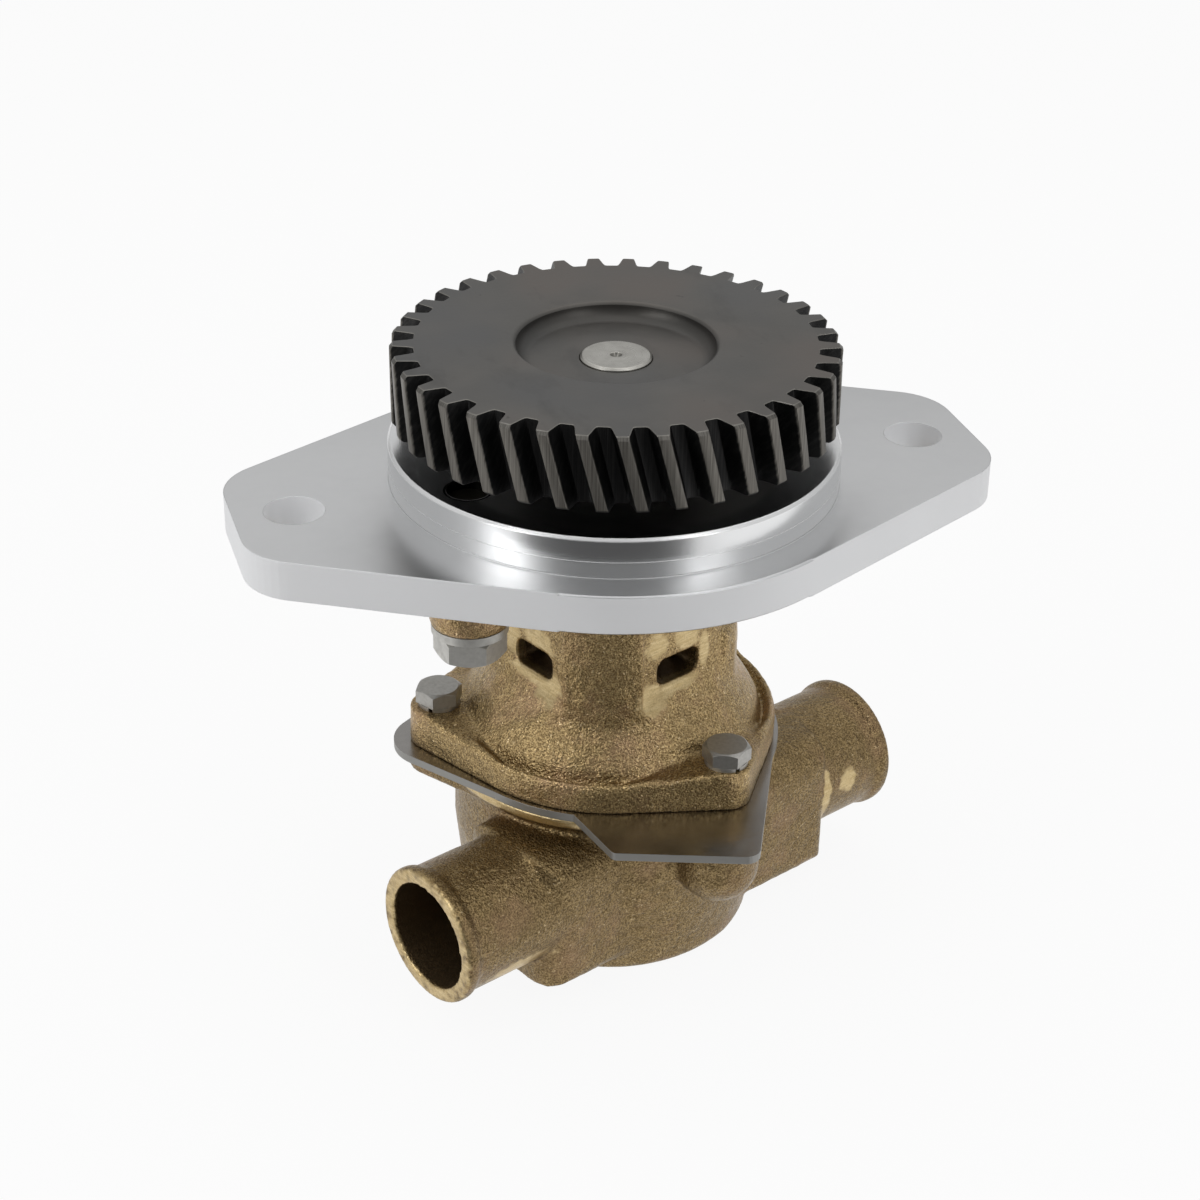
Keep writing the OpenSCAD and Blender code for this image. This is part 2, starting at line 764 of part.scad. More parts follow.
module body_bolts() {
    z = ear_z1 + lock_t;
    color(steel)
        for (i = [0 : ear_n - 1])
            rotate(ear_a + 360 / ear_n * i)
                translate([ear_d, 0, z]) {
                    post(m6_r, -m6_len, eps);
                    rotate([9, 44, 40][i])
                        hex_head(m6_af, m6_head_h, true);
                }
}

// Split spring washers under the heads
module lock_washers() {
    color(steel)
        for (i = [0 : ear_n - 1])
            rotate(ear_a + 360 / ear_n * i)
                translate([ear_d, 0, 0])
                    rotate([60, -11.5, 200][i])
                        difference() {
                            tube(5, m6_r + 0.15, ear_z1 + eps, ear_z1 + lock_t - eps);
                            translate([0, -0.5, ear_z1 - 1])
                                cube([8, 1, lock_t + 2]);
                        }
}

// Rubber impeller: the vanes lean back, and the two under the cam are bent the most
module impeller() {
    h = imp_z1 - imp_z0;
    lean = [30, 17, 14, 13, 13, 14, 17, 30];
    // Reach of the vane whose tip lies under the cam's curved face
    t = -90 - 22.5 + lean[7];
    b = cam_big_r - 2.2;
    bent = cam_back * sin(t) + sqrt(b * b - pow(cam_back * cos(t), 2));
    out = cham_r - 2;
    tip = [bent, out - 0.1, out, out, out, out, out - 0.1, bent];
    color(rubber)
        translate([0, 0, imp_z0])
            difference() {
                union() {
                    cylinder(r = 13.4, h = h);
                    for (i = [0 : vane_n - 1])
                        rotate(port_a - 90 + 22.5 + i * 45) {
                            p = tip[i] * [cos(lean[i]), sin(lean[i])];
                            q = [11.5, 0];
                            a = atan2(p[1] - q[1], p[0] - q[0]);
                            translate([q[0], q[1], 0.2])
                                rotate(a)
                                    translate([0, -1.3, 0])
                                        cube([norm(p - q), 2.6, h - 0.4]);
                            translate([p[0], p[1], 0.1])
                                cylinder(r = 1.9, h = h - 0.2);
                        }
                }
                translate([0, 0, -1])
                    cylinder(r = 10.4 + seat, h = h + 2);
            }
}

module impeller_insert() {
    color([0.75, 0.6, 0.3])
        difference() {
            tube(10.4, shaft_r + seat, imp_z0 + 1, imp_z1 - 1);
            translate([shaft_r - 2, -1.6, imp_z0])
                cube([3.4, 3.2, 60]);
        }
}

module impeller_key() {
    color(steel)
        translate([shaft_r - 2 + eps, -1.6 + eps, imp_z0 + 8 + eps])
            cube([3.2 - eps, 3.2 - 2 * eps, 16 - 2 * eps]);
}

// Cam insert that bends the vanes between the two ports
module cam() {
    color([0.72, 0.58, 0.3])
        rotate(port_a)
            difference() {
                intersection() {
                    post(cham_r - seat, cham_z0 + eps, cover_z0 - 0.3);
                    translate([-cam_half, -cham_r - 5, cham_z0])
                        cube([2 * cam_half, 12, 60]);
                }
                translate([0, cam_back, 0])
                    post(cam_big_r, cham_z0 - 1, cover_z0 + 1);
                translate([0, cam_bolt_y, 0])
                    post(2.5 + seat, cham_z0 - 1, cham_z0 + 10);
            }
}

module cam_screw() {
    color(steel)
        rotate(port_a)
            translate([0, cam_bolt_y, 0])
                difference() {
                    union() {
                        post(2.5 - seat, base_z + 3, cham_z0 + 9);
                        post(4.6, base_z + 0.4, base_z + 3.2);
                    }
                    translate([-6, -0.6, base_z - 1])
                        cube([12, 1.2, 2.4]);
                }
}

module cam_washer() {
    color([0.6, 0.35, 0.2])
        rotate(port_a)
            translate([0, cam_bolt_y, 0])
                tube(4.8, 2.6, base_z + 3.2 + eps, base_z + 4 - eps);
}

drive_gear();
pump_shaft();
gear_sleeve();
bearing_clip();
upper_race_outer();
upper_race_inner();
upper_balls();
race_spacer_outer();
race_spacer_inner();
lower_race_outer();
lower_race_inner();
lower_balls();
adapter_plate();
bearing_housing();
adapter_bolts();
adapter_washers();
oil_seal();
oil_seal_spring();
slinger_ring();
seal_cup();
seal_seat();
seal_face();
seal_spring();
seal_boot();
seal_collar();
housing_o_ring();
cover_plate();
body_o_ring();
pump_body();
body_bolts();
lock_washers();
impeller();
impeller_insert();
impeller_key();
cam();
cam_screw();
cam_washer();
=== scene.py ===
"""Looks of the raw water pump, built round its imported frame.

Shapes are given in millimetres and degrees, materials in metres.
"""
import math

import bmesh
import bpy
import numpy as np
from mathutils import Matrix, Vector, noise


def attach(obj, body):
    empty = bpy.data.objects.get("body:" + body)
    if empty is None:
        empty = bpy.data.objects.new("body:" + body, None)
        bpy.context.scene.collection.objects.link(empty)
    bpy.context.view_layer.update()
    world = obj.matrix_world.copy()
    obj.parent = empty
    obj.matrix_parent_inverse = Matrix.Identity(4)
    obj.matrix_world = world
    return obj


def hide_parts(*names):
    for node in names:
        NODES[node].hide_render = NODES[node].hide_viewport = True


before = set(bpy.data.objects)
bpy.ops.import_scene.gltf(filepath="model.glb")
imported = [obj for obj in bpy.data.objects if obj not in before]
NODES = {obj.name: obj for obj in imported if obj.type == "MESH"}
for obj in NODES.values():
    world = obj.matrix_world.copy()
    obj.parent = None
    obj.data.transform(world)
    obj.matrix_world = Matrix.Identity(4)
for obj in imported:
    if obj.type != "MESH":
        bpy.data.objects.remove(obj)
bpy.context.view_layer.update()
MM = 0.001
scene = bpy.context.scene

# Sizes of the solids that the pieces here follow

TEETH = 37
TIP_R, ROOT_R = 49.8, 44.6
GEAR_Z0, GEAR_Z1 = 14.5, 31.9
TURN = 5.3
PHASE = 1.18 + TURN
CHAMFER = 0.8
LIP = 0.12
RECESS_R, RECESS_D, COVE = 22.2, 3.9, 3.2
SHAFT_HOLE_R = 8.015
FLANK_R = (44.6, 47.2, 49.8)
FLANK_HALF = (2.22, 1.74, 1.19)

PILOT_R = 50.75
PLATE_Z0, LUG_Z, EAR_Z1, HOUSE_Z0 = -9.1, -22.8, -57.3, -66.8
WIN_Z, WIN_SHIFT, WIN_A = -39.55, 1.2, 24
LUG_P = (-38.5, -18.3)
EAR_ANGLES, EAR_D = (173, 293, 53), 40.7

BODY_Z1, BASE_Z = -68.72, -114.4
FLOOR_Z = BASE_Z - 0.1
CHAMBER_R = 29.0
PORT_ANGLE, PORT_Y, PORT_Z, PORT_LEN, PORT_R = 23.0, -15.0, -90.2, 66.0, 12.7

# Shapes


def new_object(name, verts, faces, body, material):
    """A smooth-shaded piece from points in millimetres, riding on a body."""
    mesh = bpy.data.meshes.new(name)
    mesh.from_pydata([tuple(c * MM for c in v) for v in verts], [], faces)
    mesh.materials.append(material)
    mesh.validate()
    mesh.shade_smooth()
    obj = bpy.data.objects.new(name, mesh)
    scene.collection.objects.link(obj)
    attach(obj, body)
    return obj


def ring_faces(n, a, b):
    """Quads between two rings of n points that start at a and b."""
    return [(a + i, a + (i + 1) % n, b + (i + 1) % n, b + i) for i in range(n)]


def loop_faces(n, count):
    """Quads round a closed row of rings, the last joined to the first."""
    return [f for k in range(count) for f in ring_faces(n, k * n, (k + 1) % count * n)]


def tooth_profile(tip, inset):
    """Radius and half width of a tooth, from the middle of its gap to the middle of its crest."""
    gap = math.pi * ROOT_R / TEETH
    pts = [
        (ROOT_R - inset, gap),
        (ROOT_R - inset, 2.8 - inset),
        (ROOT_R + 0.12 - inset, 2.45 - inset),
        (ROOT_R + 0.5, 2.2 - inset),
    ]
    for f in (0.3, 0.5, 0.72, 0.9, 0.965):
        r = ROOT_R + (tip - ROOT_R) * f
        pts.append((r, float(np.interp(r, FLANK_R, FLANK_HALF)) - inset))
    half = float(np.interp(tip, FLANK_R, FLANK_HALF)) - inset
    return pts + [(tip - 0.04, half - 0.09), (tip, half - 0.25), (tip, 0.0)]


def gear_ring(z, tip, inset=0.0):
    """The gear's outline at one height, turned along the teeth's slant."""
    turned = PHASE - TURN * (z - GEAR_Z0) / (GEAR_Z1 - GEAR_Z0)
    profile = tooth_profile(tip, inset)
    pts = []
    for i in range(TEETH):
        mid = math.radians(i * 360 / TEETH + turned)
        for side, line in ((-1, profile), (1, profile[-2:0:-1])):
            for r, w in line:
                a = mid + side * w / r
                pts.append((r * math.cos(a), r * math.sin(a), z))
    return pts


def circle(like, r, z):
    """A round ring with its points at another ring's angles."""
    return [(r * x / math.hypot(x, y), r * y / math.hypot(x, y), z) for x, y, _ in like]


def make_gear(material):
    """The drive gear as one closed skin: teeth, face, recess with its cove, hole and underside."""
    low, high = GEAR_Z0 + CHAMFER, GEAR_Z1 - CHAMFER
    edge = TIP_R - CHAMFER
    rings = [gear_ring(GEAR_Z0, edge, LIP), gear_ring(GEAR_Z0 + LIP, edge + LIP), gear_ring(low, TIP_R)]
    rings += [gear_ring(low + (high - low) * k / 8, TIP_R) for k in range(1, 8)]
    rings += [gear_ring(high, TIP_R), gear_ring(GEAR_Z1 - LIP, edge + LIP), gear_ring(GEAR_Z1, edge, LIP)]
    bottom, top = rings[0], rings[-1]

    rings += [circle(top, r, GEAR_Z1) for r in (44.2, 43.2, 34, RECESS_R + 1.1)]
    rings += [circle(top, RECESS_R + r, GEAR_Z1 - z) for r, z in ((0.72, 0.05), (0.45, 0.22), (0.2, 0.5))]
    floor = GEAR_Z1 - RECESS_D
    for i in range(9):
        a = math.radians(90 - i * 90 / 8)
        rings.append(circle(top, RECESS_R - COVE + COVE * math.sin(a), floor + COVE - COVE * math.cos(a)))
    hole = ((14.0, 0.0), (SHAFT_HOLE_R + 0.7, 0.0), (SHAFT_HOLE_R + 0.2, 0.1), (SHAFT_HOLE_R, 0.4))
    rings += [circle(top, r, floor - z) for r, z in hole]
    under = ((SHAFT_HOLE_R, 0.4), (SHAFT_HOLE_R + 0.4, 0), (21, 0), (21, 3), (22, 4),
             (37, 4), (38, 3), (38, 0), (43.4, 0))
    rings += [circle(bottom, r, GEAR_Z0 + z) for r, z in under]

    verts = [p for ring in rings for p in ring]
    faces = loop_faces(len(top), len(rings))
    obj = new_object("gear_blank", verts, faces, "rotor", material)
    obj.data.set_sharp_from_angle(angle=math.radians(32))
    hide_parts("drive_gear")


def pilot_line(material):
    """Fine raised line round the pilot's wall, where its ground part ends."""
    n = 256
    profile = ((PILOT_R, 3.62), (PILOT_R + 0.11, 3.72), (PILOT_R + 0.11, 3.84), (PILOT_R, 3.94))
    around = [2 * math.pi * i / n for i in range(n)]
    verts = [(r * math.cos(a), r * math.sin(a), z) for r, z in profile for a in around]
    new_object("pilot_line", verts, loop_faces(n, 4), "pump_case", material)


def edge_average(co, edges):
    """The mean of each point's neighbours."""
    a, b = edges[:, 0], edges[:, 1]
    n = len(co)
    count = (np.bincount(a, minlength=n) + np.bincount(b, minlength=n)).clip(1)
    total = [np.bincount(a, co[b, k], n) + np.bincount(b, co[a, k], n) for k in range(3)]
    return np.stack(total, axis=1) / count[:, None]


def vertex_normals(co, quads):
    n = np.zeros_like(co)
    face = np.cross(co[quads[:, 2]] - co[quads[:, 0]], co[quads[:, 3]] - co[quads[:, 1]])
    for k in range(4):
        for axis in range(3):
            n[:, axis] += np.bincount(quads[:, k], face[:, axis], len(co))
    return n / np.linalg.norm(n, axis=1).clip(1e-12)[:, None]


def voxel_copy(node, name, voxel):
    """A new object with a CAD node's shape in even quads."""
    obj = bpy.data.objects.new(name, NODES[node].data.copy())
    scene.collection.objects.link(obj)
    bm = bmesh.new()
    bm.from_mesh(obj.data)
    bmesh.ops.remove_doubles(bm, verts=bm.verts, dist=0.000002)
    bm.to_mesh(obj.data)
    bm.free()
    mod = obj.modifiers.new("remesh", "REMESH")
    mod.mode = "VOXEL"
    mod.voxel_size = voxel * MM
    mod.adaptivity = 0.0
    graph = bpy.context.evaluated_depsgraph_get()
    mesh = bpy.data.meshes.new_from_object(obj.evaluated_get(graph))
    obj.modifiers.clear()
    obj.data = mesh
    return obj


def cast_copy(node, name, free, rounds, material, carve=None):
    """A casting with rounded inner corners, worn outer edges and an uneven skin.

    free gives each point, in millimetres, its share of that: 1 as cast, 0 machined."""
    obj = voxel_copy(node, name, 0.5)
    mesh = obj.data
    n = len(mesh.vertices)
    co = np.empty(n * 3)
    mesh.vertices.foreach_get("co", co)
    co = co.reshape(n, 3) / MM
    edges = np.empty(len(mesh.edges) * 2, dtype=np.int32)
    mesh.edges.foreach_get("vertices", edges)
    edges = edges.reshape(-1, 2)
    quads = np.array([p.vertices[:] for p in mesh.polygons if len(p.vertices) == 4], dtype=np.int32)
    share = free(co)[:, None]
    for _ in range(2):
        co += (0.1 + 0.4 * share) * (edge_average(co, edges) - co)
    if carve is not None:
        co[:, 2] += carve(co, vertex_normals(co, quads))
    for step in range(rounds):
        if step % 4 == 0:
            normal = vertex_normals(co, quads)
        pull = edge_average(co, edges) - co
        outward = np.sum(pull * normal, axis=1, keepdims=True)
        co += share * np.where(outward > 0, 0.5, 0.16) * pull
    normal = vertex_normals(co, quads)
    wave = [noise.noise(Vector(p) * 0.11) * 0.16 + noise.noise(Vector(p) * 0.45) * 0.1 for p in co]
    co += share * normal * np.array(wave)[:, None]
    mesh.vertices.foreach_set("co", (co * MM).ravel())
    mesh.materials.clear()
    mesh.materials.append(material)
    mesh.shade_smooth()
    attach(obj, "pump_case")
    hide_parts(node)


def near(value, level, reach):
    """1 within reach of a level, falling to 0 over as much again."""
    return np.clip(2.0 - np.abs(value - level) / reach, 0.0, 1.0)


def from_ears(x, y):
    """Distance from each of the ears' three axes."""
    for degrees in EAR_ANGLES:
        a = math.radians(degrees)
        yield np.hypot(x - EAR_D * math.cos(a), y - EAR_D * math.sin(a))


def housing_free(co):
    """The housing's machined places are its two ends, bore, window edges, lug seats and ear seats."""
    x, y, z = co.T
    r = np.hypot(x, y)
    held = np.maximum(near(z, HOUSE_Z0 - 0.5, 0.7), near(z, PLATE_Z0 + 0.5, 0.7))
    held = np.maximum(held, (z > PLATE_Z0 - 0.4) * 1.0)
    for k in range(4):
        a = math.radians(WIN_A + 90 * k)
        across = -x * math.sin(a) + y * math.cos(a) - (WIN_SHIFT if k % 2 == 0 else -WIN_SHIFT)
        out = x * math.cos(a) + y * math.sin(a)
        edge = np.maximum(np.abs(across) - 6.2, np.abs(z - WIN_Z) - 3.15)
        held = np.maximum(held, np.clip(2.2 - np.abs(edge) / 1.2, 0, 1) * 0.97 * (out > 14))
    held = np.maximum(held, r < np.where(z < -57.5, 22.9, 20.6))
    for s in (1, -1):
        d = np.hypot(x - s * LUG_P[0], y - s * LUG_P[1])
        held = np.maximum(held, np.clip(2 - d / 5.2, 0, 1) * near(z, LUG_Z, 0.5))
        held = np.maximum(held, d < 5.6)
    for d in from_ears(x, y):
        held = np.maximum(held, np.clip(2 - d / 4.2, 0, 1) * near(z, EAR_Z1, 0.4))
        held = np.maximum(held, d < 3.9)
    return 1.0 - held


def flange_valley(co, normal):
    """Deepens the valley between the bell and the flange, and raises the flange's crest."""
    x, y, z = co.T
    r = np.hypot(x, y)
    top = np.clip((normal[:, 2] - 0.1) / 0.3, 0, 1) * np.clip((-58.6 - z) / 0.6, 0, 1) * (z > -63.5)
    crest = 1.0 * np.exp(-((r - 38.1) / 0.9) ** 2)
    valley = 1.5 * np.exp(-((r - 35.8) / 1.3) ** 2)
    return top * (crest - valley)


def body_free(co):
    """The body's machined places are its top, base, chamber, port bores and ends, and tapped holes."""
    x, y, z = co.T
    r = np.hypot(x, y)
    a = math.radians(PORT_ANGLE)
    s = np.abs(x * math.cos(a) + y * math.sin(a))
    t = -x * math.sin(a) + y * math.cos(a) - PORT_Y
    d = np.hypot(t, z - PORT_Z)
    held = np.maximum(near(z, BODY_Z1 + 0.4, 0.8), near(z, BASE_Z - 0.4, 0.6))
    held = np.maximum(held, (r < CHAMBER_R + 0.6) & (z > BASE_Z + 11.5))
    held = np.maximum(held, (d < PORT_R + 0.7) & (s > 28))
    held = np.maximum(held, (d < 18) * near(s, PORT_LEN + 0.3, 0.8))
    held = np.maximum(held, 0.85 * np.clip((s - 47) / 6, 0, 1) * (d < 18))
    for d in from_ears(x, y):
        held = np.maximum(held, d < 3.7)
    return 1.0 - held


# Camera, floor and light

LENS = 74.975
TARGET = Vector((-2.825, 0.0, -32.874)) * MM
DISTANCE = 579.231 * MM
AZIMUTH, ELEVATION, ROLL = (math.radians(a) for a in (-17.447, 29.116, 0.911))
CARD_R = (0.11, 0.75)
CARD_SPAN = range(-42, 37, 6)


def make_camera():
    """The camera of the photo, fitted to the object's edges."""
    level = math.cos(ELEVATION)
    back = Vector((math.sin(AZIMUTH) * level, -math.cos(AZIMUTH) * level, math.sin(ELEVATION)))
    right = Vector((math.cos(AZIMUTH), math.sin(AZIMUTH), 0.0))
    up = back.cross(right)
    x = right * math.cos(ROLL) + up * math.sin(ROLL)
    y = up * math.cos(ROLL) - right * math.sin(ROLL)
    data = bpy.data.cameras.new("camera")
    data.lens = LENS
    data.sensor_width = 36.0
    data.sensor_fit = "HORIZONTAL"
    data.clip_start, data.clip_end = 0.01, 50.0
    cam = bpy.data.objects.new("camera", data)
    scene.collection.objects.link(cam)
    turn = Matrix((x, y, back)).transposed().to_4x4()
    cam.matrix_world = Matrix.Translation(TARGET + back * DISTANCE) @ turn
    scene.camera = cam


def lamp(name, azimuth, elevation, distance, size, watts):
    """A soft box that looks at the pump. Azimuth is measured from X in the floor's plane."""
    a, e = math.radians(azimuth), math.radians(elevation)
    out = Vector((math.cos(a) * math.cos(e), math.sin(a) * math.cos(e), math.sin(e)))
    data = bpy.data.lights.new(name, "AREA")
    data.shape = "RECTANGLE"
    data.size, data.size_y = size
    data.energy = watts
    obj = bpy.data.objects.new(name, data)
    obj.location = Vector((0, 0, -40 * MM)) + out * distance
    obj.rotation_euler = (-out).to_track_quat("-Z", "Y").to_euler()
    scene.collection.objects.link(obj)


def add(tree, kind, out=0, props=None, **ins):
    """Adds a node, fills its inputs by name or as i0, i1, and returns one output."""
    n = tree.nodes.new("ShaderNode" + kind)
    for key, value in (props or {}).items():
        setattr(n, key, value)
    for key, value in ins.items():
        by_number = key[0] == "i" and key[1:].isdigit()
        fill(tree, n.inputs[int(key[1:]) if by_number else key.replace("_", " ")], value)
    return n.outputs[out]


def fill(tree, socket, value):
    """Links a socket to another node's output, or gives it a number or colour."""
    if isinstance(value, bpy.types.NodeSocket):
        tree.links.new(value, socket)
    elif socket.type == "RGBA" and len(value) == 3:
        socket.default_value = (*value, 1.0)
    else:
        socket.default_value = value


def stage_piece(name, points, faces, material):
    mesh = bpy.data.meshes.new(name)
    mesh.from_pydata(points, [], faces)
    mesh.materials.append(material)
    obj = bpy.data.objects.new(name, mesh)
    scene.collection.objects.link(obj)
    return obj


def pale_floor():
    """White to the camera and to gloss, with the pump's shadow kept."""
    mat = bpy.data.materials.new("floor")
    mat.use_nodes = True
    t = mat.node_tree
    t.nodes.remove(t.nodes["Principled BSDF"])
    path = t.nodes.new("ShaderNodeLightPath").outputs
    seen = add(t, "Math", props={"operation": "MAXIMUM"}, i0=path["Is Camera Ray"], i1=path["Is Glossy Ray"])
    seen = add(t, "Math", props={"operation": "MAXIMUM"}, i0=seen, i1=path["Is Transmission Ray"])
    glow = add(t, "Math", props={"operation": "MULTIPLY"}, i0=seen, i1=0.92)
    diffuse = add(t, "BsdfDiffuse", Color=(0.7, 0.7, 0.7))
    light = add(t, "Emission", Color=(1.0, 1.0, 1.0), Strength=1.0)
    surface = add(t, "MixShader", i0=glow, i1=diffuse, i2=light)
    t.links.new(surface, t.nodes["Material Output"].inputs["Surface"])
    return mat


def make_floor():
    s, z = 6.0, FLOOR_Z * MM
    stage_piece("floor", [(-s, -s, z), (s, -s, z), (s, s, z), (-s, s, z)], [(0, 1, 2, 3)], pale_floor())


def make_card():
    """A dark card on the floor on the camera's side, which only gloss sees."""
    middle = AZIMUTH - math.pi / 2
    arc = [middle + math.radians(a) for a in CARD_SPAN]
    z = (FLOOR_Z + 0.7) * MM
    points = [(r * math.cos(a), r * math.sin(a), z) for r in CARD_R for a in arc]
    n = len(arc)
    mat = bpy.data.materials.new("dark_card")
    mat.use_nodes = True
    fill(mat.node_tree, mat.node_tree.nodes["Principled BSDF"].inputs["Base Color"], (0.07, 0.07, 0.07))
    card = stage_piece("dark_card", points, [(i, i + 1, n + i + 1, n + i) for i in range(n - 1)], mat)
    card.visible_camera = False
    card.visible_shadow = False
    card.visible_diffuse = False


def make_world():
    """Soft light from all round, brighter above and dimmer from the camera's side."""
    world = bpy.data.worlds.new("studio")
    world.use_nodes = True
    t = world.node_tree
    path = t.nodes.new("ShaderNodeLightPath").outputs
    seen = add(t, "Math", props={"operation": "MAXIMUM"}, i0=path["Is Camera Ray"], i1=path["Is Transmission Ray"])
    p = add(t, "TexCoord", out=0)
    z = add(t, "SeparateXYZ", out=2, Vector=p)
    soft = add(t, "MapRange", Value=z, From_Min=-0.1, From_Max=0.6, To_Min=0.37, To_Max=0.70)
    front = (math.sin(AZIMUTH), -math.cos(AZIMUTH), 0.0)
    toward = add(t, "VectorMath", out=1, props={"operation": "DOT_PRODUCT"}, i0=p, i1=front)
    dim = add(t, "MapRange", props={"interpolation_type": "SMOOTHSTEP"},
              Value=toward, From_Min=0.3, From_Max=0.85, To_Min=1.0, To_Max=0.35)
    soft = add(t, "Math", props={"operation": "MULTIPLY"}, i0=soft, i1=dim)
    background = t.nodes["Background"].inputs
    fill(t, background["Color"], add(t, "MixRGB", Fac=seen, Color1=soft, Color2=(1.0, 1.0, 1.0)))
    fill(t, background["Strength"], 1.0)
    scene.world = world


def make_stage():
    make_floor()
    make_world()
    lamp("left_box", 201, 28, 0.9, (0.26, 0.8), 2.0)
    lamp("right_box", -62, 30, 0.9, (0.16, 0.8), 1.2)
    lamp("top_box", 60, 80, 1.0, (1.4, 1.1), 2.9)
    make_card()


# Materials


class Look:
    """A material under construction, with short names for the nodes used most."""

    def __init__(self, name):
        self.mat = bpy.data.materials.new(name)
        self.mat.use_nodes = True
        self.t = self.mat.node_tree
        self.bsdf = self.t.nodes["Principled BSDF"]
        self.p = add(self.t, "TexCoord", out=3)
        self.x, self.y, self.z = self.split(self.p)
        self.n = self.t.nodes.new("ShaderNodeNewGeometry").outputs["Normal"]

    def math(self, op, a, b=0.0):
        return add(self.t, "Math", props={"operation": op}, i0=a, i1=b)

    def plus(self, a, b):
        return self.math("ADD", a, b)

    def minus(self, a, b):
        return self.math("SUBTRACT", a, b)

    def times(self, a, b):
        return self.math("MULTIPLY", a, b)

    def length(self, a, b):
        return self.math("SQRT", self.plus(self.times(a, a), self.times(b, b)))

    def noise(self, scale, detail=2.0, rough=0.5, p=None):
        return add(self.t, "TexNoise", Vector=p or self.p, Scale=scale, Detail=detail, Roughness=rough)

    def ramp(self, x, lo, hi, to_lo=0.0, to_hi=1.0, smooth=False):
        kind = "SMOOTHSTEP" if smooth else "LINEAR"
        return add(self.t, "MapRange", props={"interpolation_type": kind},
                   Value=x, From_Min=lo, From_Max=hi, To_Min=to_lo, To_Max=to_hi)

    def mix(self, fac, a, b, mode="MIX"):
        n = self.t.nodes.new("ShaderNodeMix")
        n.data_type = "RGBA"
        n.blend_type = mode
        for number, value in ((0, fac), (6, a), (7, b)):
            fill(self.t, n.inputs[number], value)
        return n.outputs[2]

    def split(self, v):
        n = self.t.nodes.new("ShaderNodeSeparateXYZ")
        self.t.links.new(v, n.inputs[0])
        return n.outputs

    def stretch(self, scale, degrees=0.0):
        return add(self.t, "Mapping", Vector=self.p, Rotation=(0, 0, math.radians(degrees)), Scale=scale)

    def radius(self):
        return self.length(self.x, self.y)

    def around(self, per_r, per_angle, per_z):
        """Coordinates that follow the shaft's axis, for turning marks and streaks along the teeth."""
        angle = self.math("ARCTAN2", self.y, self.x)
        return add(self.t, "CombineXYZ", i0=self.times(self.radius(), per_r), i1=self.times(angle, per_angle),
                   i2=self.times(self.z, per_z))

    def steep(self, limit):
        """1 where the surface is upright, 0 where it is flat."""
        return self.math("LESS_THAN", self.flat(), limit)

    def flat(self):
        return self.math("ABSOLUTE", self.split(self.n)[2])

    def soft_normal(self, size):
        return add(self.t, "Bevel", props={"samples": 6}, Radius=size)

    def bump(self, height, distance, strength=1.0, normal=None):
        ins = {"Height": height, "Distance": distance, "Strength": strength}
        if normal is not None:
            ins["Normal"] = normal
        return add(self.t, "Bump", **ins)

    def finish(self, **sockets):
        for key, value in sockets.items():
            fill(self.t, self.bsdf.inputs[key.replace("_", " ")], value)
        return self.mat


def blob(k, centre, size, turn, edge=0.35, rough=0.25):
    """A patch of about 1 inside an ellipsoid round a point, its border broken up by noise."""
    q = add(k.t, "Mapping", props={"vector_type": "TEXTURE"}, Vector=k.p, Location=[c * MM for c in centre],
            Rotation=(0, 0, math.radians(turn)), Scale=[s * MM for s in size])
    d = add(k.t, "VectorMath", out=1, props={"operation": "LENGTH"}, i0=q)
    d = k.plus(d, k.ramp(k.noise(450, 3), 0.3, 0.7, -rough, rough))
    return k.ramp(d, 1.0 - edge, 1.0 + edge * 0.3, 1.0, 0.0, smooth=True)


def filed_rim(k):
    """1 on the body's top edge, which is filed bright."""
    return k.times(k.ramp(k.z, -0.0712, -0.0708), k.math("GREATER_THAN", k.radius(), 0.0375))


def in_ports(k):
    """1 inside the hose ports' bores, where the bronze is painted darker as shade."""
    a = math.radians(PORT_ANGLE)
    t = k.plus(k.times(k.x, -math.sin(a)), k.times(k.y, math.cos(a)))
    d = k.length(k.minus(t, PORT_Y * MM), k.minus(k.z, PORT_Z * MM))
    s = k.math("ABSOLUTE", k.plus(k.times(k.x, math.cos(a)), k.times(k.y, math.sin(a))))
    return k.times(k.math("LESS_THAN", d, (PORT_R + 0.25) * MM), k.ramp(s, 0.0655, 0.0645))


def in_neck(k):
    """1 inside the housing, behind the drain windows, where the bronze is painted darker as shade."""
    return k.ramp(k.radius(), 0.0212, 0.0228, 0.96, 0.0)


